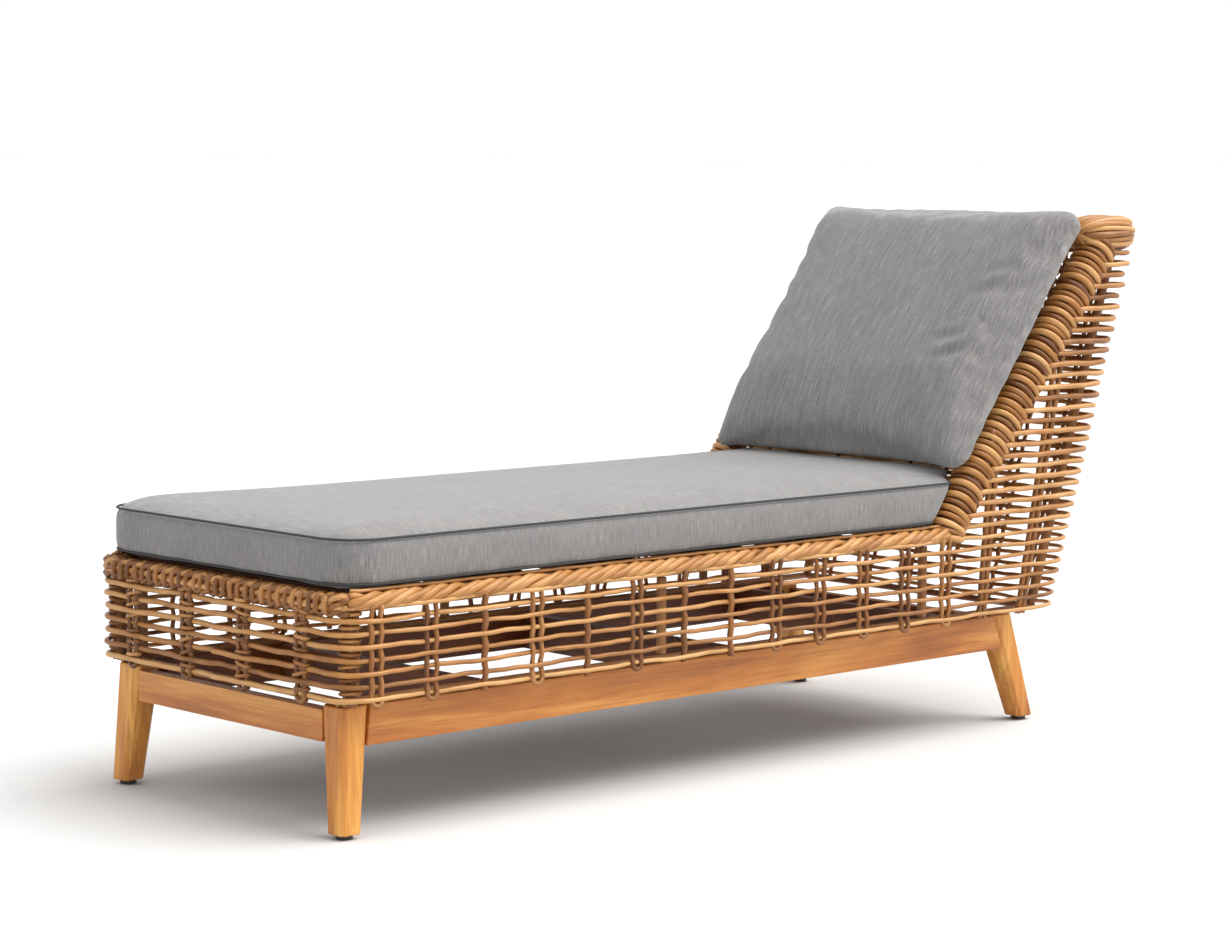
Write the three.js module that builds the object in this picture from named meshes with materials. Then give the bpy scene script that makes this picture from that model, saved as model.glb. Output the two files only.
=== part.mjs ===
// A garden chaise longue: a low woven-cane basket with a wedge-shaped back, standing on a splayed
// teak base, with a loose boxed seat cushion and a loose back cushion.
// Millimetres, +Z up. X runs from the foot end to the head end, Y across, and the origin is on the
// floor under the middle of the object. Inside the model X is counted from the foot end.
// "left" is the side at -Y, "right" the side at +Y.
import * as THREE from "three";
import { mergeVertices } from "three/addons/utils/BufferGeometryUtils.js";

// ---- driving dimensions ----------------------------------------------------------------------
const LENGTH = 2008; // foot end to the top of the back
const WIDTH = 720;
const HALF = WIDTH / 2;
const GAP = 0.3; // clearance between pieces that touch

const FLOOR_CLEAR = 8; // height of the plastic glides
const RAIL_BOTTOM = 148;
const RAIL_TOP = 214;
const APRON_BOTTOM = 152;
const APRON_TOP = 205;
const BOARD = 24; // thickness of the rails and aprons

const LEG_TOP = 58; // leg section at the top
const LEG_FOOT = 43; // leg section at the floor
const LEG_CHAMFER = 10;
const LEG_TOP_Y = 287;
const LEGS = {
  foot: { floorX: 39, floorY: 304, topX: 55 },
  head: { floorX: 1712, floorY: 296, topX: 1640 },
};

const WALL = 14; // thickness of the woven walls
const CORNER = 60; // outer radius of the basket's corners
const WEAVE_BOTTOM = 219;
const WEAVE_TOP = 372.7;
const RIM_TOP = 398; // top of the braided rim, where the seat cushion lies
const RIM_WIDTH = 40;

const TUBE_R = 11; // cane poles that carry the rim and the back
const BASE_TUBE_R = 6.5; // cane poles that lie on the side rails
const BASE_TUBE_Y = 302;
const RIM_TUBE_Y = 288;
const POST_R = 9;
const POST_Y = 295;

const BACK_LEAN = 0.331; // run over rise of the outer back wall
const BACK_FOOT_X = 1769; // outer back wall at the bottom of the weave
const BACK_TOP = 914.7; // underside of the top rail
const TOP_RAIL_H = 60;
const TOP_RAIL_FRONT = 1840;

const WING_R = 30; // the wrapped rail along the front of each wing
const WING_Y = HALF - WING_R;
const WING_FOOT_X = 1446;
const WING_SLOPE = 0.846; // run over rise

const PANEL_FOOT_X = 1481; // front face of the inner back panel, where it meets the seat
const PANEL_FOOT_Z = 401;
const PANEL_LEAN = 0.69; // run over rise
const PANEL_THICK = 15;
const PANEL_HALF = 296;

const SEAT_FOOT_X = 11;
const SEAT_TOP = 509;
const SEAT_HALF = 348;
const SEAT_WIDE_END = 1402; // the cushion is full width up to the wings
const SEAT_END = 1472;
const SEAT_TONGUE_HALF = 292;

const PILLOW_HALF = 325; // in front of the wing rails
const PILLOW_BACK_HALF = 291; // between the wing rails
const PILLOW_STEP = 50; // depth of the part between the wing rails
const PILLOW_FACE_HALF = 292;
const PILLOW_THICK = 142;
const PILLOW_ROUND = 24;
const PILLOW_START = 106; // up the panel from its foot
const PILLOW_END = 630;

// ---- materials -------------------------------------------------------------------------------
const teak = new THREE.MeshStandardMaterial({ color: 0xb8703a, roughness: 0.5, metalness: 0 });
const teakInner = new THREE.MeshStandardMaterial({ color: 0x6f4020, roughness: 0.6, metalness: 0 });
const cane = new THREE.MeshStandardMaterial({ color: 0xc08a4e, roughness: 0.45, metalness: 0 });
const fabric = new THREE.MeshStandardMaterial({ color: 0x8a8583, roughness: 0.9, metalness: 0 });
const plastic = new THREE.MeshStandardMaterial({ color: 0x1a1a1a, roughness: 0.5, metalness: 0 });

const model = new THREE.Group();
model.position.x = -LENGTH / 2;
const lounger = new THREE.Group();
lounger.add(model);

// Adds one named piece to the model.
function piece(name, geometry, material) {
  const mesh = new THREE.Mesh(geometry, material);
  mesh.name = name;
  model.add(mesh);
  return mesh;
}

// Both sides of the object: a name and the sign of Y.
const SIDES = [
  ["left", -1],
  ["right", 1],
];

// ---- shape helpers ---------------------------------------------------------------------------
// A box given by its lowest and highest corners.
function block(x0, y0, z0, x1, y1, z1) {
  const box = new THREE.BoxGeometry(x1 - x0, y1 - y0, z1 - z0);
  return box.translate((x0 + x1) / 2, (y0 + y1) / 2, (z0 + z1) / 2);
}

// A round pole between two points.
function pole(from, to, radius, sides = 12) {
  const a = new THREE.Vector3(...from);
  const b = new THREE.Vector3(...to);
  const axis = b.clone().sub(a);
  const rod = new THREE.CylinderGeometry(radius, radius, axis.length(), sides);
  const turn = new THREE.Quaternion().setFromUnitVectors(
    new THREE.Vector3(0, 1, 0),
    axis.clone().normalize(),
  );
  rod.applyQuaternion(turn);
  const middle = a.add(b).multiplyScalar(0.5);
  return rod.translate(middle.x, middle.y, middle.z);
}

// An outline in the X-Z plane, extruded along Y from y0 to y1.
function sideProfile(points, y0, y1) {
  const shape = new THREE.Shape(points.map(([x, z]) => new THREE.Vector2(x, z)));
  const body = new THREE.ExtrudeGeometry(shape, { depth: y1 - y0, bevelEnabled: false });
  body.rotateX(Math.PI / 2); // the shape's y becomes Z, and its depth runs towards -Y
  return body.translate(0, y1, 0);
}

// A rectangle with its four corners rounded, each by its own radius, counter-clockwise from the
// corner at the lowest x and y.
function roundedRectangle(x0, y0, x1, y1, [r00, r10, r11, r01]) {
  const shape = new THREE.Shape();
  shape.moveTo(x0 + r00, y0);
  shape.lineTo(x1 - r10, y0);
  if (r10) shape.absarc(x1 - r10, y0 + r10, r10, -Math.PI / 2, 0, false);
  shape.lineTo(x1, y1 - r11);
  if (r11) shape.absarc(x1 - r11, y1 - r11, r11, 0, Math.PI / 2, false);
  shape.lineTo(x0 + r01, y1);
  if (r01) shape.absarc(x0 + r01, y1 - r01, r01, Math.PI / 2, Math.PI, false);
  shape.lineTo(x0, y0 + r00);
  if (r00) shape.absarc(x0 + r00, y0 + r00, r00, Math.PI, 1.5 * Math.PI, false);
  return shape;
}

// A plan outline raised from z0 to z1, with its edges rounded by a bevel.
function plan(shape, z0, z1, bevel = 0, bevelSegments = 2) {
  const body = new THREE.ExtrudeGeometry(shape, {
    depth: z1 - z0 - 2 * bevel,
    bevelEnabled: bevel > 0,
    bevelThickness: bevel,
    bevelSize: bevel,
    bevelOffset: -bevel,
    bevelSegments,
    curveSegments: 5,
  });
  return body.translate(0, 0, z0 + bevel);
}

// Moves each vertex in X by slope times its height over z0, which leans an upright shape back.
function lean(geometry, slope, z0) {
  const at = geometry.attributes.position;
  for (let i = 0; i < at.count; i++) at.setX(i, at.getX(i) + slope * (at.getZ(i) - z0));
  return geometry;
}

// The outer back wall's X at a height.
const backX = (z) => BACK_FOOT_X + BACK_LEAN * (z - WEAVE_BOTTOM);

// ---- teak base -------------------------------------------------------------------------------
// A leg is a square post with chamfered corners that tapers to the floor and splays outwards.
function leg({ floorX, floorY, topX }, side) {
  const h = LEG_TOP / 2;
  const c = h - LEG_CHAMFER;
  const section = new THREE.Shape(
    [[c, -h], [h, -c], [h, c], [c, h], [-c, h], [-h, c], [-h, -c], [-c, -h]].map(
      ([x, y]) => new THREE.Vector2(x, y),
    ),
  );
  const height = RAIL_TOP - FLOOR_CLEAR;
  const post = new THREE.ExtrudeGeometry(section, { depth: height, bevelEnabled: false });
  const at = post.attributes.position;
  for (let i = 0; i < at.count; i++) {
    const up = at.getZ(i) / height;
    const size = THREE.MathUtils.lerp(LEG_FOOT / LEG_TOP, 1, up);
    at.setX(i, at.getX(i) * size + THREE.MathUtils.lerp(floorX, topX, up));
    at.setY(i, at.getY(i) * size + side * THREE.MathUtils.lerp(floorY, LEG_TOP_Y, up));
    at.setZ(i, at.getZ(i) + FLOOR_CLEAR);
  }
  return post;
}

for (const [end, spot] of Object.entries(LEGS))
  for (const [side, sign] of SIDES) {
    piece(`leg_${end}_${side}`, leg(spot, sign), teak);
    const foot = [spot.floorX, sign * spot.floorY];
    const glide = pole([...foot, 0], [...foot, FLOOR_CLEAR - GAP], 14, 20);
    piece(`glide_${end}_${side}`, glide, plastic);
  }

// How far a leg reaches at a height, so that the boards stop against it.
function legReach(spot, z) {
  const up = (z - FLOOR_CLEAR) / (RAIL_TOP - FLOOR_CLEAR);
  const size = THREE.MathUtils.lerp(LEG_FOOT, LEG_TOP, up) / 2;
  return {
    x: THREE.MathUtils.lerp(spot.floorX, spot.topX, up),
    y: THREE.MathUtils.lerp(spot.floorY, LEG_TOP_Y, up),
    size,
  };
}

// Side rails fit between the legs, with ends cut to the legs' splay.
function railEnd(spot, towards, z) {
  const reach = legReach(spot, z);
  return reach.x + towards * (reach.size + GAP);
}
const RAIL_OUT = LEG_TOP_Y + LEG_TOP / 2;
const railEnds = [
  [railEnd(LEGS.foot, 1, RAIL_BOTTOM), RAIL_BOTTOM],
  [railEnd(LEGS.head, -1, RAIL_BOTTOM), RAIL_BOTTOM],
  [railEnd(LEGS.head, -1, RAIL_TOP), RAIL_TOP],
  [railEnd(LEGS.foot, 1, RAIL_TOP), RAIL_TOP],
];
for (const [side, sign] of SIDES) {
  const [inner, outer] = [sign * (RAIL_OUT - BOARD), sign * RAIL_OUT];
  const rail = sideProfile(railEnds, Math.min(inner, outer), Math.max(inner, outer));
  piece(`side_rail_${side}`, rail, teak);
}

// Aprons close the base at its foot and head ends.
for (const [end, spot] of Object.entries(LEGS)) {
  const outwards = end === "foot" ? -1 : 1;
  const face = spot.topX + outwards * (LEG_TOP / 2 - 4);
  const back = face - outwards * BOARD;
  const half = legReach(spot, APRON_TOP).y - LEG_TOP / 2 - GAP;
  const apron = block(Math.min(face, back), -half, APRON_BOTTOM, Math.max(face, back), half, APRON_TOP);
  piece(`${end}_apron`, apron, teak);
}

// Cross bearers stiffen the base between the side rails.
const BEARER_HALF = RAIL_OUT - BOARD - GAP;
const BEARERS = { foot: 374, middle: 953, head: 1532 };
for (const [where, x] of Object.entries(BEARERS)) {
  const bearer = block(x - BOARD / 2, -BEARER_HALF, RAIL_BOTTOM, x + BOARD / 2, BEARER_HALF, RAIL_TOP);
  piece(`cross_bearer_${where}`, bearer, teakInner);
}

// Triangular blocks brace each corner of the base, behind the leg.
const BLOCK_LEG = 46;
for (const [end, spot] of Object.entries(LEGS))
  for (const [side, sign] of SIDES) {
    const inwards = end === "foot" ? 1 : -1;
    const x = spot.topX + inwards * (LEG_TOP / 2 + 1);
    const y = sign * (RAIL_OUT - BOARD - GAP);
    const corner = new THREE.Shape([
      new THREE.Vector2(x, y),
      new THREE.Vector2(x + inwards * BLOCK_LEG, y),
      new THREE.Vector2(x, y - sign * BLOCK_LEG),
    ]);
    piece(`corner_block_${end}_${side}`, plan(corner, APRON_BOTTOM + 6, APRON_TOP), teakInner);
  }

// ---- cane poles that carry the weave ---------------------------------------------------------
const BASE_TUBE_Z = RAIL_TOP + GAP + BASE_TUBE_R;
const RIM_TUBE_Z = RIM_TOP - 14.6 - TUBE_R;
const BASE_TUBE_START = 27;
const BASE_TUBE_END = 1744;
const RIM_TUBE_START = 30;
const RIM_TUBE_END = 1490;

for (const [side, sign] of SIDES) {
  const baseY = sign * BASE_TUBE_Y;
  const rimY = sign * RIM_TUBE_Y;
  const baseEnds = [BASE_TUBE_START, BASE_TUBE_END].map((x) => [x, baseY, BASE_TUBE_Z]);
  const base = pole(...baseEnds, BASE_TUBE_R);
  const rim = pole([RIM_TUBE_START, rimY, RIM_TUBE_Z], [RIM_TUBE_END, rimY, RIM_TUBE_Z], TUBE_R);
  piece(`base_pole_${side}`, base, cane);
  piece(`rim_pole_${side}`, rim, cane);
}
const CROSS_POLES = {
  base_pole_foot: [BASE_TUBE_START + TUBE_R, BASE_TUBE_Z, BASE_TUBE_Y, BASE_TUBE_R],
  base_pole_head: [BASE_TUBE_END - TUBE_R, BASE_TUBE_Z, BASE_TUBE_Y, BASE_TUBE_R],
  rim_pole_foot: [RIM_TUBE_START + TUBE_R, RIM_TUBE_Z, RIM_TUBE_Y, TUBE_R],
  rim_pole_head: [RIM_TUBE_END - TUBE_R, RIM_TUBE_Z, RIM_TUBE_Y, TUBE_R],
};
for (const [name, [x, z, y, radius]] of Object.entries(CROSS_POLES)) {
  const half = y - radius - GAP;
  piece(name, pole([x, -half, z], [x, half, z], radius), cane);
}

// Short posts stand between the base poles and the rim poles.
const POST_FOOT = BASE_TUBE_Z + BASE_TUBE_R + GAP;
const POST_HEAD = RIM_TUBE_Z - TUBE_R - GAP;
const POSTS = { foot: 66, middle: 746, head: 1426 };
for (const [where, x] of Object.entries(POSTS))
  for (const [side, sign] of SIDES) {
    const post = pole([x, sign * POST_Y, POST_FOOT], [x, sign * POST_Y, POST_HEAD], POST_R);
    piece(`post_${where}_${side}`, post, cane);
  }

// Two long posts follow the lean of the back, from the base poles to the top rail.
const BACK_POST_IN = 34;
for (const [side, sign] of SIDES) {
  const post = new THREE.CylinderGeometry(TUBE_R - 1, TUBE_R - 1, BACK_TOP - GAP - POST_FOOT, 12);
  post.rotateX(Math.PI / 2);
  post.translate(backX(0) - BACK_POST_IN, sign * BASE_TUBE_Y, (BACK_TOP - GAP + POST_FOOT) / 2);
  piece(`back_post_${side}`, lean(post, BACK_LEAN, 0), cane);
}

// ---- deck slats ------------------------------------------------------------------------------
const SLATS = 6;
const SLAT_WIDTH = 150;
const SLAT_FIRST = 24;
const SLAT_PITCH = (1478 - SLAT_WIDTH - SLAT_FIRST) / (SLATS - 1);
for (let i = 0; i < SLATS; i++) {
  const x = Math.max(SLAT_FIRST + i * SLAT_PITCH, 62);
  const wide = i === SLATS - 1 ? WING_Y - WING_R - GAP : HALF - RIM_WIDTH - 2 * GAP;
  const slat = block(x, -wide, RIM_TUBE_Z + TUBE_R + GAP, x + SLAT_WIDTH, wide, RIM_TOP);
  piece(`deck_slat_${i + 1}`, slat, teakInner);
}

// ---- woven walls -----------------------------------------------------------------------------
// The weave is modelled as a thin wall of its true outer shape. Each side wall has a flange under
// it that turns in to the base pole.
const FLANGE = 10;
const flangeIn = BASE_TUBE_Y + BASE_TUBE_R + GAP;
for (const [side, sign] of SIDES) {
  const wallEnd = backX(WEAVE_BOTTOM) - CORNER - GAP;
  const outline = new THREE.Shape(
    [
      [-HALF, WEAVE_BOTTOM],
      [-flangeIn, WEAVE_BOTTOM],
      [-flangeIn, WEAVE_BOTTOM + FLANGE],
      [-(HALF - WALL), WEAVE_BOTTOM + FLANGE],
      [-(HALF - WALL), WEAVE_TOP],
      [-HALF, WEAVE_TOP],
    ].map(([y, z]) => new THREE.Vector2(-sign * y, z)),
  );
  const wall = new THREE.ExtrudeGeometry(outline, {
    depth: wallEnd - CORNER - GAP,
    bevelEnabled: false,
  });
  // The outline's x becomes Y and its y becomes Z; the wall runs along X.
  wall.applyMatrix4(new THREE.Matrix4().set(0, 0, 1, CORNER + GAP, 1, 0, 0, 0, 0, 1, 0, 0, 0, 0, 0, 1));
  // Its head end leans with the back.
  const at = wall.attributes.position;
  for (let i = 0; i < at.count; i++)
    if (at.getX(i) > wallEnd - 1)
      at.setX(i, at.getX(i) + BACK_LEAN * (at.getZ(i) - WEAVE_BOTTOM));
  piece(`side_weave_${side}`, wall, cane);
}

const FOOT_WEAVE_TOP = RIM_TUBE_Z + TUBE_R;
const FLAT_HALF = HALF - CORNER - GAP; // half width of the flat walls at the foot and head ends
piece("foot_weave", block(0, -FLAT_HALF, WEAVE_BOTTOM, WALL, FLAT_HALF, FOOT_WEAVE_TOP), cane);

// A quarter of a round corner wall, about a vertical line at (x, y), between two angles.
function cornerWall(x, y, from, z0, z1) {
  const shape = new THREE.Shape();
  const to = from + Math.PI / 2;
  shape.absarc(x, y, CORNER, from, to, false);
  shape.absarc(x, y, CORNER - WALL, to, from, true);
  return new THREE.ExtrudeGeometry(shape, {
    depth: z1 - z0,
    bevelEnabled: false,
    curveSegments: 6,
  }).translate(0, 0, z0);
}
for (const [side, sign] of SIDES) {
  const from = sign < 0 ? Math.PI : Math.PI / 2;
  const foot = cornerWall(CORNER, sign * (HALF - CORNER), from, WEAVE_BOTTOM, FOOT_WEAVE_TOP);
  piece(`corner_weave_foot_${side}`, foot, cane);
}

// Wings: the upper side walls, bounded by the wrapped rail in front and the leaning corner behind.
const wingRailX = (z) => WING_FOOT_X + 20 + WING_SLOPE * (z - RIM_TOP - 20);
const WING_BEHIND = 41; // the rail's half width measured along X, with a gap
const wingOutline = [
  [WING_FOOT_X + WING_R + 2, WEAVE_TOP + GAP],
  [backX(WEAVE_TOP) - CORNER - GAP, WEAVE_TOP + GAP],
  [backX(BACK_TOP) - CORNER - GAP, BACK_TOP - GAP],
  [wingRailX(BACK_TOP) + WING_BEHIND, BACK_TOP - GAP],
  [wingRailX(470) + WING_BEHIND, 470],
];
for (const [side, sign] of SIDES) {
  const [inner, outer] = [sign * (HALF - WALL), sign * HALF];
  const wing = sideProfile(wingOutline, Math.min(inner, outer), Math.max(inner, outer));
  piece(`wing_weave_${side}`, wing, cane);
}

// The head end: a flat leaning wall between two leaning corners.
for (const [side, sign] of SIDES) {
  const from = sign < 0 ? -Math.PI / 2 : 0;
  const middle = [BACK_FOOT_X - CORNER, sign * (HALF - CORNER)];
  const corner = cornerWall(...middle, from, WEAVE_BOTTOM, BACK_TOP - GAP);
  piece(`corner_weave_head_${side}`, lean(corner, BACK_LEAN, WEAVE_BOTTOM), cane);
}
const backStart = [BACK_FOOT_X - WALL, -FLAT_HALF, WEAVE_BOTTOM];
const backWall = block(...backStart, BACK_FOOT_X, FLAT_HALF, BACK_TOP - GAP);
piece("back_weave", lean(backWall, BACK_LEAN, WEAVE_BOTTOM), cane);

// The inner back panel that the back cushion leans on.
const panelRun = PANEL_THICK * Math.hypot(1, PANEL_LEAN); // its thickness measured along X
const panelX = (z) => PANEL_FOOT_X + PANEL_LEAN * (z - PANEL_FOOT_Z);
const panelOutline = [
  [panelX(RIM_TOP + GAP), RIM_TOP + GAP],
  [panelX(RIM_TOP + GAP) + panelRun, RIM_TOP + GAP],
  [panelX(BACK_TOP) + panelRun, BACK_TOP - GAP],
  [panelX(BACK_TOP), BACK_TOP - GAP],
];
piece("inner_back_weave", sideProfile(panelOutline, -PANEL_HALF, PANEL_HALF), cane);

// ---- braided rims and wrapped rails ----------------------------------------------------------
const RIM_SIDE_END = WING_FOOT_X - WING_R - 2;
for (const [side, sign] of SIDES) {
  const [inner, outer] = [sign * (HALF - RIM_WIDTH), sign * HALF];
  const bar = roundedRectangle(
    CORNER + GAP,
    Math.min(inner, outer),
    RIM_SIDE_END,
    Math.max(inner, outer),
    [0, 0, 0, 0],
  );
  piece(`rim_braid_${side}`, plan(bar, WEAVE_TOP + GAP, RIM_TOP), cane);
}
const footRim = roundedRectangle(0, -HALF, CORNER, HALF, [CORNER - 1, 0, 0, CORNER - 1]);
piece("rim_braid_foot", plan(footRim, FOOT_WEAVE_TOP + GAP, RIM_TOP), cane);

// Each wing's front edge is a thick cane rail: upright at its foot, then sloping up to the top.
const railSection = new THREE.Shape().absarc(0, 0, WING_R, 0, 2 * Math.PI, false);
for (const [side, sign] of SIDES) {
  const y = sign * WING_Y;
  const top = BACK_TOP - 24;
  const path = new THREE.CatmullRomCurve3(
    [
      new THREE.Vector3(WING_FOOT_X, y, RIM_TOP - 12),
      new THREE.Vector3(WING_FOOT_X + 4, y, RIM_TOP + 12),
      new THREE.Vector3(wingRailX(450) + 1, y, 450),
      new THREE.Vector3(wingRailX(560), y, 560),
      new THREE.Vector3(wingRailX(740), y, 740),
      new THREE.Vector3(wingRailX(top), y, top),
    ],
    false,
    "centripetal",
  );
  const rail = new THREE.ExtrudeGeometry(railSection, {
    extrudePath: path,
    steps: 22,
    curveSegments: 6,
    bevelEnabled: false,
  });
  piece(`wing_rail_${side}`, rail, cane);
}

const topRail = roundedRectangle(TOP_RAIL_FRONT, -HALF, LENGTH, HALF, [34, CORNER, CORNER, 34]);
piece("top_rail", plan(topRail, BACK_TOP, BACK_TOP + TOP_RAIL_H, 22, 3), cane);

// ---- cushions --------------------------------------------------------------------------------
// The seat cushion is a boxed slab, full width up to the wings, with a tongue between them.
const SEAT_ROUND = 62;
const seat = new THREE.Shape();
seat.moveTo(SEAT_FOOT_X + SEAT_ROUND, -SEAT_HALF);
seat.lineTo(SEAT_WIDE_END, -SEAT_HALF);
seat.lineTo(SEAT_WIDE_END, -SEAT_TONGUE_HALF);
seat.lineTo(SEAT_END, -SEAT_TONGUE_HALF);
seat.lineTo(SEAT_END, SEAT_TONGUE_HALF);
seat.lineTo(SEAT_WIDE_END, SEAT_TONGUE_HALF);
seat.lineTo(SEAT_WIDE_END, SEAT_HALF);
seat.lineTo(SEAT_FOOT_X + SEAT_ROUND, SEAT_HALF);
seat.absarc(SEAT_FOOT_X + SEAT_ROUND, SEAT_HALF - SEAT_ROUND, SEAT_ROUND, Math.PI / 2, Math.PI, false);
seat.lineTo(SEAT_FOOT_X, -SEAT_HALF + SEAT_ROUND);
seat.absarc(SEAT_FOOT_X + SEAT_ROUND, -SEAT_HALF + SEAT_ROUND, SEAT_ROUND, Math.PI, 1.5 * Math.PI, false);
piece("seat_cushion", plan(seat, RIM_TOP + GAP, SEAT_TOP, 12, 2), fabric);

// The back cushion stands on the seat cushion and leans on the inner back panel, with its sides
// lapping over the wing rails. Its plan is drawn across the panel and extruded up it.
const pillowCorners = [
  [-PILLOW_BACK_HALF, 2 * GAP],
  [PILLOW_BACK_HALF, 2 * GAP],
  [PILLOW_BACK_HALF, PILLOW_STEP],
  [PILLOW_HALF, PILLOW_STEP + 6],
  [PILLOW_HALF, 0.7 * PILLOW_THICK],
  [PILLOW_FACE_HALF, PILLOW_THICK],
  [-PILLOW_FACE_HALF, PILLOW_THICK],
  [-PILLOW_HALF, 0.7 * PILLOW_THICK],
  [-PILLOW_HALF, PILLOW_STEP + 6],
  [-PILLOW_BACK_HALF, PILLOW_STEP],
];
const pillowPlan = new THREE.Shape(pillowCorners.map(([x, y]) => new THREE.Vector2(x, y)));
const pillow = plan(pillowPlan, PILLOW_START, PILLOW_END, PILLOW_ROUND, 3);
const up = new THREE.Vector3(PANEL_LEAN, 0, 1).normalize(); // along the panel
const out = new THREE.Vector3(-up.z, 0, up.x); // off the panel, towards the sitter
const across = new THREE.Vector3().crossVectors(out, up);
pillow.applyMatrix4(new THREE.Matrix4().makeBasis(across, out, up));
pillow.translate(PANEL_FOOT_X, 0, PANEL_FOOT_Z);
piece("back_cushion", pillow, fabric);

export default lounger;
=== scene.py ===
"""Looks for the woven garden chaise longue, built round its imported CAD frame.
Metres, +Z up, X from the foot end to the head end."""

import math

import bpy
import numpy as np
from mathutils import Matrix, Vector


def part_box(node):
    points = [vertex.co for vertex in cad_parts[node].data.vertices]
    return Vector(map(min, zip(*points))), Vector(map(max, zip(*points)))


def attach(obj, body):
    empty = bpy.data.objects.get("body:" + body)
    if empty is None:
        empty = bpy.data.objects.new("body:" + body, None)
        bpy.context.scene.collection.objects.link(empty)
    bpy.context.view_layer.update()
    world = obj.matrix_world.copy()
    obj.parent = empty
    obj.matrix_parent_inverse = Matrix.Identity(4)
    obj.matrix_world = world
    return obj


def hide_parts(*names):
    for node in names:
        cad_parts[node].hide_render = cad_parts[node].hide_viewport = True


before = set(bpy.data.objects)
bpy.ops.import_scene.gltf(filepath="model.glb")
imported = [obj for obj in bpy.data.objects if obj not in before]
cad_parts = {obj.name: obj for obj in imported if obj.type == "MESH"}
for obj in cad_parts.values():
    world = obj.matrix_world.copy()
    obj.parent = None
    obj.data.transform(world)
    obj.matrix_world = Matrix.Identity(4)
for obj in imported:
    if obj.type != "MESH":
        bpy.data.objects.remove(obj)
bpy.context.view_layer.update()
rng = np.random.default_rng(11)
TAU = 2 * math.pi
CORNER_SIGNS = ((-1, -1), (1, -1), (1, 1), (-1, 1))  # of a rectangle's corners, anticlockwise

# ---- places taken from the frame -------------------------------------------------------------
FOOT_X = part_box("foot_weave")[0].x
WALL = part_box("foot_weave")[1].x - FOOT_X
SIDE_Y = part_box("side_weave_right")[1].y
WEAVE_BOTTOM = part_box("foot_weave")[0].z
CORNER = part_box("corner_weave_foot_right")[1].x - FOOT_X
RIM_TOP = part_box("rim_braid_right")[1].z
BACK_LO, BACK_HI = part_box("back_weave")
BACK_LEAN = (BACK_HI.x - BACK_LO.x - WALL) / (BACK_HI.z - BACK_LO.z)
TOP_LO, TOP_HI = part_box("top_rail")
RAIL_LO, RAIL_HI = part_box("wing_rail_right")
RAIL_R = (RAIL_HI.y - RAIL_LO.y) / 2
RAIL_Y = (RAIL_HI.y + RAIL_LO.y) / 2
SEAT_LO, SEAT_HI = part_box("seat_cushion")
PANEL_LO, PANEL_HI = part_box("inner_back_weave")
PANEL_THICK = 0.018  # the inner back's thickness along X

# ---- driving numbers of the weave ------------------------------------------------------------
SIDES = ("left", "right")
MID = WALL / 2  # the weave's middle surface, inside the wall's outer face
ROW_FIRST = 0.2287
ROW_PITCH = 0.0212
BASE_ROWS = 8
STRAND_R = 0.0040
WING_STRAND_R = 0.0051
STAVE_R = 0.0042
WEAVE_SWING = 0.0028  # how far strands and staves bend past each other
STAVE_FIRST = FOOT_X + 0.066
STAVE_PITCH = 0.1133
SIDE_STAVES = "PPSPSPSSPPPPPSS"  # P is a pair of staves, S a single one
PAIR_HALF = 0.0098  # half the gap between the two staves of a pair
RAIL_SLOPE = 0.846  # run over rise of the wing rails
RAIL_BEND, RAIL_BEND_SOFT = 0.3944, 0.012  # the height where they start to slope, and its softness
STEP = 0.011  # spacing of points along a strand


def back_x(z):
    """The outer back wall's X at a height."""
    return BACK_LO.x + WALL + BACK_LEAN * (z - BACK_LO.z)


def rail_x(z):
    """The wing rail's centreline: upright at its foot, then sloping back."""
    foot = RAIL_LO.x + RAIL_R
    sloping = np.logaddexp(0, (z - RAIL_BEND) / RAIL_BEND_SOFT)
    return foot + RAIL_SLOPE * RAIL_BEND_SOFT * sloping


RAIL_FOOT_X = rail_x(0.3)  # taken at a height where the rails still stand upright


# ---- camera, lights and floor ----------------------------------------------------------------
CAMERA_AT = (-4.079, -4.295, 1.0915)
CAMERA_YAW, CAMERA_PITCH, CAMERA_ROLL = 47.145, 5.503, 0.34
CAMERA_LENS = 93.54
LAMP_WAY = (-0.45, 0.38, -0.9)  # the direction its light travels in
LAMP_TINT = (1, 0.985, 0.96)
FLOOR_COLOUR = (0.60, 0.60, 0.60, 1)
FLOOR_REACH = 400


def add_camera():
    yaw, pitch, roll = (math.radians(a) for a in (CAMERA_YAW, CAMERA_PITCH, CAMERA_ROLL))
    forward = Vector(
        (math.cos(yaw) * math.cos(pitch), math.sin(yaw) * math.cos(pitch), -math.sin(pitch))
    )
    right = forward.cross(Vector((0, 0, 1))).normalized()
    up = right.cross(forward)
    turned_right = right * math.cos(roll) + up * math.sin(roll)
    turned_up = up * math.cos(roll) - right * math.sin(roll)
    camera = bpy.data.objects.new("camera", bpy.data.cameras.new("camera"))
    bpy.context.scene.collection.objects.link(camera)
    placed = Matrix((turned_right, turned_up, -forward)).transposed().to_4x4()
    placed.translation = CAMERA_AT
    camera.matrix_world = placed
    camera.data.lens = CAMERA_LENS
    camera.data.sensor_width = 36
    camera.data.clip_end = 1000
    bpy.context.scene.camera = camera


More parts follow.
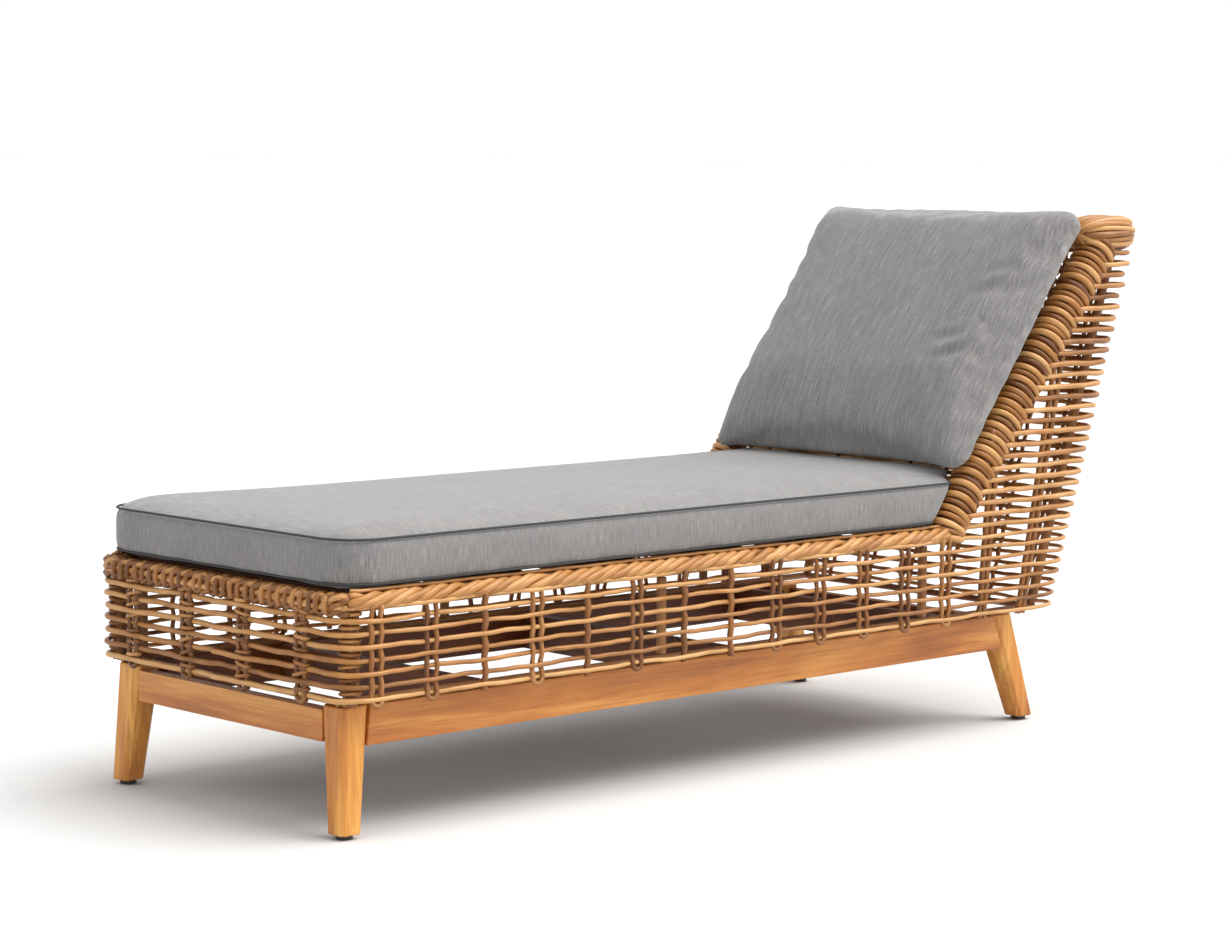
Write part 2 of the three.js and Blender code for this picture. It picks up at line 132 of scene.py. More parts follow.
def add_studio():
    """White surroundings, a broad soft lamp from above on the right, and a pale floor."""
    world = bpy.data.worlds.new("studio")
    bpy.context.scene.world = world
    world.use_nodes = True
    background = world.node_tree.nodes["Background"]
    background.inputs["Color"].default_value = (1, 1, 1, 1)
    background.inputs["Strength"].default_value = 1.0
    lamp = bpy.data.lights.new("lamp", "SUN")
    lamp.energy = 4.0
    lamp.angle = math.radians(60)
    lamp.color = LAMP_TINT
    lamp_object = bpy.data.objects.new("lamp", lamp)
    bpy.context.scene.collection.objects.link(lamp_object)
    lamp_object.rotation_euler = Vector(LAMP_WAY).to_track_quat("-Z", "Y").to_euler()
    plane = bpy.data.meshes.new("floor")
    corners = [(FLOOR_REACH * x, FLOOR_REACH * y, 0) for x, y in CORNER_SIGNS]
    plane.from_pydata(corners, [], [(0, 1, 2, 3)])
    floor = bpy.data.objects.new("floor", plane)
    bpy.context.scene.collection.objects.link(floor)
    material = bpy.data.materials.new("floor")
    material.use_nodes = True
    shader = material.node_tree.nodes["Principled BSDF"]
    shader.inputs["Base Color"].default_value = FLOOR_COLOUR
    shader.inputs["Roughness"].default_value = 1
    shader.inputs["Specular IOR Level"].default_value = 0.1
    floor.data.materials.append(material)


# ---- materials -------------------------------------------------------------------------------
class Nodes:
    """A material's node tree, with short ways to add and link nodes."""

    def __init__(self, name):
        self.material = bpy.data.materials.new(name)
        self.material.use_nodes = True
        self.tree = self.material.node_tree
        self.shader = self.tree.nodes["Principled BSDF"]

    def add(self, kind, inputs=None, **settings):
        node = self.tree.nodes.new(kind)
        for key, value in settings.items():
            setattr(node, key, value)
        for key, value in (inputs or {}).items():
            self.feed(node.inputs[key], value)
        return node

    def feed(self, socket, value):
        if isinstance(value, bpy.types.NodeSocket):
            self.tree.links.new(value, socket)
        else:
            socket.default_value = value

    def scaled(self, vector, scale):
        node = self.add("ShaderNodeMapping", {"Vector": vector, "Scale": scale})
        return node.outputs["Vector"]

    def noise(self, vector, scale=1.0, detail=3.0, roughness=0.5, distortion=0.0):
        inputs = {
            "Vector": vector,
            "Scale": scale,
            "Detail": detail,
            "Roughness": roughness,
            "Distortion": distortion,
        }
        return self.add("ShaderNodeTexNoise", inputs).outputs["Fac"]

    def ramp(self, factor, stops):
        node = self.add("ShaderNodeValToRGB", {"Fac": factor})
        elements = node.color_ramp.elements
        while len(elements) < len(stops):
            elements.new(0.5)
        for element, (place, colour) in zip(elements, stops):
            element.position = place
            element.color = (*colour, 1)
        return node.outputs["Color"]

    def math(self, operation, a, b=0.0, c=0.0):
        return self.add("ShaderNodeMath", {0: a, 1: b, 2: c}, operation=operation).outputs[0]

    def mix(self, factor, a, b, blend="MIX"):
        node = self.add("ShaderNodeMix", data_type="RGBA", blend_type=blend)
        self.feed(node.inputs[0], factor)
        self.feed(node.inputs[6], a)
        self.feed(node.inputs[7], b)
        return node.outputs[2]

    def bump(self, height, strength, distance):
        inputs = {"Height": height, "Strength": strength, "Distance": distance}
        bumped = self.add("ShaderNodeBump", inputs).outputs["Normal"]
        self.feed(self.shader.inputs["Normal"], bumped)

    def attribute(self, name, output="Vector"):
        return self.add("ShaderNodeAttribute", attribute_name=name).outputs[output]


def cane_material(name, dark, middle, light):
    """Round cane: each strand has its own tone, with fibres and darker patches along it."""
    n = Nodes(name)
    strand = n.attribute("strand")
    tone = n.attribute("tone", "Fac")
    fibre = n.noise(n.scaled(strand, (28, 900, 40)), 1, 3, 0.6)
    patch = n.noise(n.scaled(strand, (14, 30, 40)), 1, 2, 0.55)
    mixed = n.math("MULTIPLY_ADD", fibre, 0.42, n.math("MULTIPLY", patch, 0.42))
    level = n.math("ADD", mixed, n.math("MULTIPLY", tone, 0.34))
    colour = n.ramp(level, [(0.34, dark), (0.58, middle), (0.86, light)])
    n.feed(n.shader.inputs["Base Color"], colour)
    n.shader.inputs["Roughness"].default_value = 0.42
    n.shader.inputs["Specular IOR Level"].default_value = 0.45
    n.bump(fibre, 0.45, 0.0006)
    return n.material


INSIDE_PAINTED_SHADE = (0.34, 0.22, 0.18, 1)  # painted shade: multiplies the wood's colour on the stand's inward faces, standing in for the shade inside the frame


def wood_material(name, axis, dark, middle, light, roughness=0.45, inside=None):
    """Oiled hardwood with its grain along one axis (0, 1 or 2). Faces that look inwards along the
    axis inside (0 or 1), if given, are darkened with painted shade, standing in for the shade
    inside the stand."""
    n = Nodes(name)
    place = n.add("ShaderNodeTexCoord").outputs["Object"]
    stretch = [26.0, 26.0, 26.0]
    stretch[axis] = 1.3
    warp = [9.0, 9.0, 9.0]
    warp[axis] = 1.6
    fine = [240.0, 240.0, 240.0]
    fine[axis] = 7.0
    figure = n.noise(n.scaled(place, warp), 1, 3, 0.5, 0.6)
    grain = n.noise(n.scaled(place, stretch), 1, 5, 0.6, 0.9)
    pores = n.noise(n.scaled(place, fine), 1, 3, 0.6)
    level = n.math("MULTIPLY_ADD", grain, 0.55, n.math("MULTIPLY", figure, 0.45))
    colour = n.ramp(level, [(0.36, dark), (0.5, middle), (0.63, light)])
    streaks = n.ramp(pores, [(0.3, (0.72, 0.66, 0.6)), (0.52, (1, 1, 1))])
    finish = n.mix(0.8, colour, streaks, "MULTIPLY")
    # painted shade: faces turned towards the inside of the frame are darkened, as the shade there
    # would darken them
    if inside is not None:
        normal = n.add("ShaderNodeNewGeometry").outputs["Normal"]
        facing = n.add("ShaderNodeSeparateXYZ", {0: normal})
        spot = n.add("ShaderNodeSeparateXYZ", {0: place})
        inward = n.math("MULTIPLY", facing.outputs[inside], spot.outputs[inside])
        shaded = n.mix(1.0, finish, INSIDE_PAINTED_SHADE, "MULTIPLY")
        finish = n.mix(n.math("LESS_THAN", inward, -0.1), finish, shaded)
    n.feed(n.shader.inputs["Base Color"], finish)
    n.shader.inputs["Roughness"].default_value = roughness
    n.bump(pores, 0.25, 0.0005)
    return n.material


def fabric_material(name, shade):
    """Heathered linen: fine crossing threads with paler slubs along the second cloth axis."""
    n = Nodes(name)
    cloth = n.attribute("cloth")
    slub = n.noise(n.scaled(cloth, (560, 30, 20)), 1, 2, 0.5)
    weft = n.noise(n.scaled(cloth, (70, 620, 20)), 1, 2, 0.5)
    blotch = n.noise(n.scaled(cloth, (9, 7, 5)), 1, 3, 0.6)
    level = n.math("MULTIPLY_ADD", slub, 0.62, n.math("MULTIPLY", weft, 0.24))
    level = n.math("MULTIPLY_ADD", blotch, 0.14, level)
    stops = [(0.34, 0.16), (0.47, 0.205), (0.57, 0.25), (0.7, 0.34)]
    tint = (1.03, 1.0, 0.985)
    colour = n.ramp(level, [(p, tuple(min(1, g * shade * t) for t in tint)) for p, g in stops])
    n.feed(n.shader.inputs["Base Color"], colour)
    n.shader.inputs["Roughness"].default_value = 0.92
    n.shader.inputs["Specular IOR Level"].default_value = 0.2
    n.shader.inputs["Sheen Weight"].default_value = 0.25
    n.shader.inputs["Sheen Roughness"].default_value = 0.5
    n.bump(level, 0.5, 0.0008)
    return n.material


def plain_material(name, colour, roughness, grain=400.0):
    """A dark trim or moulded plastic with a fine surface grain."""
    n = Nodes(name)
    place = n.add("ShaderNodeTexCoord").outputs["Object"]
    speck = n.noise(place, grain, 2)
    low, high = (tuple(c * k for c in colour) for k in (0.7, 1.4))
    n.feed(n.shader.inputs["Base Color"], n.ramp(speck, [(0.3, low), (0.7, high)]))
    n.shader.inputs["Roughness"].default_value = roughness
    n.bump(speck, 0.2, 0.0003)
    return n.material


# ---- strands ---------------------------------------------------------------------------------
def unit(v):
    return v / np.maximum(np.linalg.norm(v, axis=-1, keepdims=True), 1e-12)


def wander(length, amount, wave=0.09):
    """A smooth wobble along a strand: three sines of random phase."""
    total = np.zeros_like(length)
    for k, share in ((1.0, 0.5), (0.53, 0.3), (0.29, 0.2)):
        turns = TAU * length / (wave * k * rng.uniform(0.8, 1.3))
        total += share * np.sin(turns + rng.uniform(0, TAU))
    return amount * total


def run_length(points):
    steps = np.linalg.norm(np.diff(points, axis=0), axis=1)
    return np.concatenate([[0], np.cumsum(steps)])


class Strands:
    """Collects cane strands and makes one mesh of them."""

    def __init__(self):
        self.verts, self.faces, self.strand, self.tone, self.count = [], [], [], [], 0

    def add(
        self, points, radius, ref=(0, 0, 1), flat=1.0, sides=8, closed=False, rough=0.07, tone=None
    ):
        """One strand along points. ref is a direction the strand never runs along, and flat is the
        section's width along ref over its width across it. rough varies the radius of an open
        strand, and a strand with no tone gets one at random."""
        points = np.asarray(points, float)
        n = len(points)
        ahead, behind = np.roll(points, -1, 0), np.roll(points, 1, 0)
        if not closed:
            ahead[-1], behind[0] = points[-1], points[0]
        tangent = unit(ahead - behind)
        across = unit(np.cross(tangent, np.broadcast_to(ref, points.shape)))
        rise = np.cross(across, tangent)
        along = run_length(points)
        uneven = 1 + wander(along, rough, 0.06)
        size = np.broadcast_to(np.asarray(radius, float), n)
        if not closed:
            size = size * uneven
        angle = np.arange(sides) * TAU / sides
        ring = (
            points[:, None]
            + (size[:, None] * np.cos(angle))[..., None] * across[:, None]
            + (size[:, None] * np.sin(angle) * flat)[..., None] * rise[:, None]
        )
        index = self.count + np.arange(n * sides).reshape(n, sides)
        here = index if closed else index[:-1]
        there = np.roll(index, -1, 0) if closed else index[1:]
        quads = np.stack([here, np.roll(here, -1, 1), np.roll(there, -1, 1), there], -1)
        self.faces += quads.reshape(-1, 4).tolist()
        if not closed:
            self.faces.append(index[0][::-1].tolist())
            self.faces.append(index[-1].tolist())
        self.verts.append(ring.reshape(-1, 3))
        seed = rng.uniform(0, 50)
        round_way = np.abs(np.linspace(-0.5, 0.5, sides, endpoint=False)) * 0.03
        coordinate = (
            np.repeat(along + seed, sides),
            np.tile(round_way, n),
            np.full(n * sides, seed / 10),
        )
        self.strand.append(np.stack(coordinate, -1))
        self.tone.append(np.full(n * sides, rng.uniform() if tone is None else tone))
        self.count += n * sides

    def build(self, name, material, *stands_for, slot="cane", body="frame"):
        mesh = bpy.data.meshes.new(name)
        mesh.from_pydata(np.concatenate(self.verts), [], self.faces)
        mesh.shade_smooth()
        mesh.attributes.new("strand", "FLOAT_VECTOR", "POINT").data.foreach_set(
            "vector", np.concatenate(self.strand).astype(np.float32).ravel()
        )
        mesh.attributes.new("tone", "FLOAT", "POINT").data.foreach_set(
            "value", np.concatenate(self.tone).astype(np.float32)
        )
        mesh.materials.append(material)
        return place(name, mesh, body, slot, *stands_for)


def place(name, mesh, body, slot, *stands_for):
    """Puts a finished mesh in the scene, riding on a body."""
    piece = bpy.data.objects.new(name, mesh)
    bpy.context.scene.collection.objects.link(piece)
    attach(piece, body)
    if stands_for:
        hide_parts(*stands_for)
    return piece


# ---- the basket's plan -----------------------------------------------------------------------
def line(a, b):
    a, b = np.asarray(a, float), np.asarray(b, float)
    count = max(2, int(np.linalg.norm(b - a) / STEP) + 1)
    return a + np.linspace(0, 1, count)[:, None] * (b - a)


def plan_arc(x, y, radius, start, end):
    angle = np.radians(np.linspace(start, end, 9))
    return np.stack([x + radius * np.cos(angle), y + radius * np.sin(angle)], -1)


def outward(points, closed=True):
    """Outward unit normals of a plan outline that runs anticlockwise."""
    ahead, behind = np.roll(points, -1, 0), np.roll(points, 1, 0)
    if not closed:
        ahead[-1], behind[0] = points[-1], points[0]
    tangent = unit(ahead - behind)
    return np.stack([tangent[:, 1], -tangent[:, 0]], -1)


def wall_plan(z, inset, open_at=None):
    """The wall's plan at a height, from the foot end round the left side, the back and the right
    side, or only the part behind x = open_at. Returns the points and their outward normals."""
    half, r = SIDE_Y - inset, CORNER - inset
    front, rear = FOOT_X + inset, back_x(z) - inset
    back = [
        plan_arc(rear - r, -half + r, r, -90, 0),
        line((rear, -half + r), (rear, half - r)),
        plan_arc(rear - r, half - r, r, 0, 90),
    ]
    if open_at is None:
        parts = [
            line((front, 0), (front, -half + r)),
            plan_arc(front + r, -half + r, r, 180, 270),
            line((front + r, -half), (rear - r, -half)),
            *back,
            line((rear - r, half), (front + r, half)),
            plan_arc(front + r, half - r, r, 90, 180),
            line((front, half - r), (front, 0)),
        ]
    else:
        start = [line((open_at, -half), (rear - r, -half))]
        parts = start + back + [line((rear - r, half), (open_at, half))]
    last = [] if open_at is None else [parts[-1][-1:]]
    points = np.concatenate([p[:-1] for p in parts] + last)
    return points, outward(points, open_at is None)


BACK_STAVE_Y = np.linspace(-0.27, 0.27, 6)
FOOT_STAVE_Y = np.linspace(-0.235, 0.235, 4)
FOOT_HALF = len(FOOT_STAVE_Y) // 2
SIDE_STAVE_X = STAVE_FIRST + STAVE_PITCH * np.arange(len(SIDE_STAVES))


def side_stave_x(x, z):
    """Where a side stave that starts at x is at a height: those behind the wing rail lean back,
    the more so the nearer they are to the back wall."""
    share = np.clip((x - RAIL_FOOT_X) / (back_x(WEAVE_BOTTOM) - RAIL_FOOT_X), 0, 1)
    return x + BACK_LEAN * share * (z - WEAVE_BOTTOM)


def stave_places(z, inset):
    """Plan positions of every stave at a height, in the order that wall_plan passes them."""
    half = SIDE_Y - inset
    side = [side_stave_x(x, z) for x in SIDE_STAVE_X]
    return np.array(
        [(FOOT_X + inset, y) for y in FOOT_STAVE_Y[:FOOT_HALF][::-1]]
        + [(x, -half) for x in side]
        + [(back_x(z) - inset, y) for y in BACK_STAVE_Y]
        + [(x, half) for x in side[::-1]]
        + [(FOOT_X + inset, y) for y in FOOT_STAVE_Y[FOOT_HALF:][::-1]]
    )


def woven_row(strands, row, radius, open_at=None):
    """One row of weaving, bent out and in past the staves, and thicker at the foot end."""
    z = ROW_FIRST + row * ROW_PITCH
    plan, normal = wall_plan(z, MID, open_at)
    along = run_length(plan)
    staves = stave_places(z, MID)
    nearest = np.linalg.norm(plan[None] - staves[:, None], axis=-1)
    met = nearest.min(1) < 0.02
    places = along[nearest.argmin(1)][met]
    order = np.argsort(places)
    phase = np.interp(along, places[order], math.pi * np.flatnonzero(met)[order])
    swing = WEAVE_SWING * np.cos(phase + math.pi * row)
    out = swing + wander(along, 0.0009, 0.12)
    points = np.concatenate([plan + normal * out[:, None], np.full((len(plan), 1), z)], 1)
    points[:, 2] += wander(along, 0.0016, 0.21)
    at_foot = np.clip(1 - (plan[:, 0] - FOOT_X) / 0.06, 0, 1)
    strands.add(points, radius * (1 + 0.28 * at_foot), closed=open_at is None)


def upright(strands, foot, top_z, position, sign, radius=STAVE_R, tone=None, lean_in=0.0):
    """A stave: position(z) gives its plan point and outward normal at each height, and sign says
    which rows it passes on the inside."""
    z = np.arange(foot, top_z, 0.006)
    swing = -0.7 * sign * WEAVE_SWING * np.cos(math.pi * (z - ROW_FIRST) / ROW_PITCH)
    plan, normal = position(z)
    bent = plan + normal * (swing + wander(z - foot, 0.0006, 0.05) - lean_in)[:, None]
    strands.add(np.concatenate([bent, z[:, None]], 1), radius, ref=(1, 0, 0), rough=0.12, tone=tone)


def hairpin(strands, position, half, top_z, sign, tone):
    """A pair of staves made of one strand, looped under the lowest row."""
    z = np.arange(ROW_FIRST - 0.004, top_z, 0.006)
    turn = np.radians(np.linspace(200, 340, 9))
    swing = -0.7 * sign * WEAVE_SWING * np.cos(math.pi * (z - ROW_FIRST) / ROW_PITCH)
    plan, normal = position(z)
    along_wall = np.stack([-normal[:, 1], normal[:, 0]], -1)
    spread = half + wander(z, 0.0012, 0.07)
    left = plan + normal * swing[:, None] - along_wall * spread[:, None]
    right = plan + normal * swing[:, None] + along_wall * spread[:, None]
    loop_plan = plan[:1] + along_wall[:1] * (half * np.cos(turn))[:, None] + normal[:1] * 0.002
    loop_z = z[0] + 0.3 * half + half * np.sin(turn)
    points = np.concatenate(
        [
            np.concatenate([left, z[:, None]], 1)[::-1],
            np.concatenate([loop_plan, loop_z[:, None]], 1),
            np.concatenate([right, z[:, None]], 1),
        ]
    )
    strands.add(points, STAVE_R, ref=tuple(np.append(normal[0], 0)), rough=0.12, tone=tone)


def side_position(sign, x):
    def at(z):
        plan = np.stack([side_stave_x(x, z), np.full_like(z, sign * (SIDE_Y - MID))], -1)
        return plan, np.tile((0.0, sign), (len(z), 1))

    return at


def end_position(x_of, y, outward):
    def at(z):
        plan = np.stack([x_of(z), np.full_like(z, y)], -1)
        return plan, np.tile((outward, 0.0), (len(z), 1))

    return at


def rail_height(x):
    """The height at which the wing rail's centreline passes over x."""
    heights = np.linspace(RIM_TOP, TOP_LO.z, 400)
    return float(np.interp(x, rail_x(heights), heights))


# ---- woven basket ----------------------------------------------------------------------------
def build_rows(cane):
    base = Strands()
    for row in range(BASE_ROWS):
        woven_row(base, row, STRAND_R * rng.uniform(0.95, 1.08))
    walls = ("side_weave", "corner_weave_foot")
    base.build("basket_rows", cane, "foot_weave", *(f"{n}_{s}" for n in walls for s in SIDES))

    upper = Strands()
    row = BASE_ROWS
    while ROW_FIRST + row * ROW_PITCH < TOP_LO.z - 0.002:
        z = ROW_FIRST + row * ROW_PITCH
        woven_row(upper, row, WING_STRAND_R * rng.uniform(0.93, 1.07), open_at=rail_x(z) + 0.012)
        row += 1
    walls = ("wing_weave", "corner_weave_head")
    upper.build("back_rows", cane, "back_weave", *(f"{n}_{s}" for n in walls for s in SIDES))


def build_staves(cane):
    strands = Strands()
    foot, rim = ROW_FIRST - 0.010, RIM_TOP - 0.012
    for index, (kind, x) in enumerate(zip(SIDE_STAVES, SIDE_STAVE_X)):
        for side in (-1, 1):
            position = side_position(side, x)
            sign = -side * (-1) ** (index + FOOT_HALF)
            if x > RAIL_FOOT_X:
                top = min(rail_height(x + BACK_LEAN * 0.2), TOP_LO.z)
                for gap in (-0.006, 0.007):
                    stave, tone = side_position(side, x + gap), rng.uniform(0, 0.4)
                    upright(strands, foot, top, stave, 0.2, 0.0055, tone, lean_in=0.008)
            elif kind == "P":
                hairpin(strands, position, PAIR_HALF, rim, sign, rng.uniform(0, 0.6))
            else:
                upright(strands, foot, rim, position, sign, 0.0052, rng.uniform(0, 0.6))
    for k, y in enumerate(BACK_STAVE_Y):
        position = end_position(lambda z: back_x(z) - MID, y, 1.0)
        sign = (-1) ** (k + FOOT_HALF + len(SIDE_STAVES))
        hairpin(strands, position, PAIR_HALF, TOP_LO.z, sign, 0.3)
    for k, y in enumerate(FOOT_STAVE_Y):
        position = end_position(lambda z: np.full_like(z, FOOT_X + MID), y, -1.0)
        sign = (-1) ** (FOOT_HALF - 1 - k if k < FOOT_HALF else k + 1)
        hairpin(strands, position, 0.0105, rim - 0.01, sign, rng.uniform(0, 0.25))
        tone = rng.uniform(0, 0.2)
        upright(strands, ROW_FIRST - 0.012, rim, position, sign, 0.006, tone, lean_in=0.006)
    strands.build("staves", cane)


# ---- wrapped and twisted edges ---------------------------------------------------------------
def twist(strands, path, *, spread, pitch, count, radius, flat=1.0, tall=1.0):
    """A rope of strands twisted round a path that runs level. tall is the rope's height over its
    width."""
    path = np.asarray(path, float)
    steps = np.arange(0, run_length(path)[-1], 0.006)
    fine = np.stack([np.interp(steps, run_length(path), path[:, k]) for k in range(3)], -1)
    tangent = unit(np.gradient(fine, axis=0))
    across = unit(np.cross(tangent, (0, 0, 1)))
    for k in range(count):
        angle = TAU * (steps / pitch + k / count) + wander(steps, 0.5, 0.5)
        loose = spread * (1 + wander(steps, 0.12, 0.2))
        points = fine + across * (loose * np.cos(angle))[:, None]
        points[:, 2] += loose * tall * np.sin(angle)
        strands.add(points, radius, flat=flat, rough=0.1)


def wrap(strands, centre, wide, high, reach, rise, radius, square=1.0, tone=None):
    """A closed turn of cane: an oval about centre in the plane of the directions wide and high,
    squarer the further square is below 1."""
    angle = np.linspace(0, TAU, 28, endpoint=False)
    cos, sin = np.cos(angle), np.sin(angle)
    out = reach * np.sign(cos) * np.abs(cos) ** square
    up = rise * np.sign(sin) * np.abs(sin) ** square
    centre, wide, high = (np.asarray(v, float) for v in (centre, wide, high))
    points = centre + out[:, None] * wide + up[:, None] * high
    size = radius * (1 + 0.1 * np.sin(angle + rng.uniform(0, TAU)))
    strands.add(points, size, ref=np.cross(wide, high), closed=True, tone=tone)


def corner_path(inset, z, sign, until):
    """From the middle of a foot corner's arc along one side, to x = until."""
    half, r = SIDE_Y - inset, CORNER - inset
    arc = plan_arc(FOOT_X + inset + r, -half + r, r, 225, 270)
    plan = np.concatenate([arc[:-1], line((FOOT_X + inset + r, -half), (until, -half))])
    plan[:, 1] *= -sign
    return np.concatenate([plan, np.full((len(plan), 1), z)], 1)


def foot_path(inset, z):
    """Along the foot end, with half of each corner's arc."""
    half, r = SIDE_Y - inset, CORNER - inset
    near = plan_arc(FOOT_X + inset + r, -half + r, r, 225, 180)
    far = plan_arc(FOOT_X + inset + r, half - r, r, 180, 135)
    straight = line((FOOT_X + inset, -half + r), (FOOT_X + inset, half - r))
    plan = np.concatenate([near[:-1], straight, far[1:]])
    return np.concatenate([plan, np.full((len(plan), 1), z)], 1)


# inset from the wall's outer face, and drop below the rim's top, of each strand inside the rims
LINING = (
    (0.024, -0.005),
    (0.031, -0.0035),
    (0.027, 0.003),
    (0.037, 0.001),
    (0.045, 0.002),
    (0.029, 0.008),
    (0.032, 0.016),
    (0.024, 0.025),
    (0.031, 0.024),
)
# the same for each thin rope along the foot end
FOOT_BRAID = ((0.008, 0.007), (0.008, 0.018), (0.008, 0.029), (0.020, 0.0065), (0.032, 0.007))


def build_rims(cane, dark):
    end = RAIL_LO.x + 0.02
    for side, sign in zip(SIDES, (-1, 1)):
        rope = Strands()
        path = corner_path(0.0150, RIM_TOP - 0.0110, sign, end)
        twist(rope, path, spread=0.0092, pitch=0.15, count=5, radius=0.0062, flat=1.05, tall=0.9)
        rope.build(f"rim_rope_{side}", cane, f"rim_braid_{side}")
        inboard = Strands()
        for inset, drop in LINING:
            path = corner_path(inset, RIM_TOP - drop, sign, end)
            path[:, 2] += wander(run_length(path), 0.0007, 0.17)
            inboard.add(path, 0.0042, flat=0.8)
        inboard.build(f"rim_lining_{side}", dark)
    braid = Strands()
    for inset, drop in FOOT_BRAID:
        path = foot_path(inset, RIM_TOP - drop)
        twist(braid, path, spread=0.0036, pitch=0.045, count=2, radius=0.0046)
    reach = SIDE_Y - CORNER
    for y in np.arange(-reach, reach, 0.021):
        centre = (FOOT_X + 0.018, y + rng.uniform(-0.002, 0.002), RIM_TOP - 0.0175)
        lean = rng.uniform(0.2, 0.4)
        wide = unit(np.array((1.0, lean, 0.0)))
        tone = rng.uniform(0, 0.7)
        wrap(braid, centre, wide, (0, 0, 1), 0.019, 0.015, 0.0046, square=0.75, tone=tone)
    braid.build("rim_braid_foot_end", dark, "rim_braid_foot")


POST_OUT = 0.023  # how far a corner post stands from the corner's centre, along X and along Y


def build_foot_details(cane):
    """Turns of thin cane round each foot bundle, and the bound posts at the foot corners."""
    strands = Strands()
    for y in FOOT_STAVE_Y:
        for row in range(BASE_ROWS - 1):
            z = ROW_FIRST + (row + 0.5) * ROW_PITCH + rng.uniform(-0.002, 0.002)
            wide = unit(np.array((0.0, 1.0, rng.uniform(-0.3, 0.3))))
            centre = (FOOT_X + MID, y + rng.uniform(-0.002, 0.002), z)
            wrap(strands, centre, wide, (1, 0, 0), 0.0155, 0.0075, 0.003)
    for sign in (-1, 1):
        post = (FOOT_X + CORNER - POST_OUT, sign * (SIDE_Y - CORNER + POST_OUT))
        for offset in np.radians((0, 120, 240)):
            x, y = post[0] + 0.007 * math.cos(offset), post[1] + 0.007 * math.sin(offset)
            z = np.arange(ROW_FIRST - 0.012, RIM_TOP - 0.02, 0.008)
            shift = wander(z, 0.0012, 0.08)
            points = np.stack([x + shift, y + shift, z], -1)
            strands.add(points, 0.0062, ref=(1, 0, 0), tone=rng.uniform(0, 0.4))
        for row in range(BASE_ROWS):
            z = ROW_FIRST + (row + 0.45) * ROW_PITCH
            high = (0, 1, rng.uniform(-0.2, 0.2))
            wrap(strands, (*post, z), (1, 0, 0), high, 0.016, 0.016, 0.0032)
    strands.build("foot_bindings", cane)


RING_R = 0.0064
THIN_RING_R = 0.0046
RING_INWARD = 0.005  # the turns stand this much off the rail's axis, towards the cushions


def build_wing_rails(cane, dark):
    """Each wing rail is a dark core under turns of cane, a thick turn to each row of the wing with
    a thin one between."""
    for side, sign in zip(SIDES, (-1, 1)):
        y = sign * RAIL_Y
        z = np.linspace(RIM_TOP - 0.030, TOP_LO.z + 0.012, 40)
        core = Strands()
        core.add(np.stack([rail_x(z), np.full_like(z, y), z], -1), 0.0225, ref=(0, 1, 0), sides=12)
        core.build(f"wing_core_{side}", dark)
        turns = Strands()
        level = RIM_TOP - 0.020
        thick = True
        while level < TOP_LO.z + 0.008:
            here, next_x = rail_x(level), rail_x(level + 0.002)
            axis = unit(np.array((next_x - here, 0.0, 0.002)))
            tilt = rng.uniform(-0.10, 0.10) + 0.10 * sign
            wide = unit(np.array((0.0, 1.0, 0.0)) + tilt * axis)
            high = unit(np.cross(axis, wide))
            radius = RING_R if thick else THIN_RING_R
            reach = RAIL_R + 0.001 - radius - (0 if thick else 0.0015)
            centre = np.array((here, y - sign * RING_INWARD, level)) - 0.003 * high
            tone = rng.uniform(0.35, 1) if thick else rng.uniform(-0.3, 0.3)
            across, along = reach + RING_INWARD, reach + 0.010
            wrap(turns, centre, wide, high, across, along, radius, square=0.9, tone=tone)
            level += ROW_PITCH / 2
            thick = not thick
        turns.build(f"wing_turns_{side}", cane, f"wing_rail_{side}")


def build_top_rail(cane, dark):
    """The top rail: oval turns along the back, fanning round each end."""
    z = (TOP_LO.z + TOP_HI.z) / 2
    rise = (TOP_HI.z - TOP_LO.z) / 2 - RING_R
    front, rear = TOP_LO.x + RING_R, TOP_HI.x - RING_R
    reach, x = (rear - front) / 2, (front + rear) / 2
    end = SIDE_Y - 0.052
    core = Strands()
    for aside, radius, sides in ((0, 0.018, 14), (-0.045, 0.016, 12), (0.045, 0.016, 12)):
        core.add(line((x + aside, -end, z), (x + aside, end, z)), radius, sides=sides)
    core.build("top_core", dark)
    turns = Strands()
    for y in np.arange(-end, end, 0.0135):
        lean = rng.uniform(-0.05, 0.05)
        radius = RING_R * rng.uniform(0.85, 1.1)
        wrap(turns, (x, y, z), (1, lean, 0), (0, 0, 1), reach, rise, radius, square=0.6)
    for sign in (-1, 1):
        for turn in np.radians(np.arange(-84, 85, 14)):
            way = (0, sign * math.cos(turn), math.sin(turn))
            out = rise + (SIDE_Y - RING_R - end - rise) * math.cos(turn)
            short = reach * (0.90 + 0.10 * abs(math.sin(turn)))
            tone, radius = rng.uniform(-0.1, 1), RING_R * rng.uniform(0.75, 1.05)
            lean = (1, sign * rng.uniform(-0.06, 0.06), rng.uniform(-0.06, 0.06))
            centre = (x, sign * end, z)
            wrap(turns, centre, lean, way, short, out, radius, square=0.75, tone=tone)
    turns.build("top_turns", cane, "top_rail")


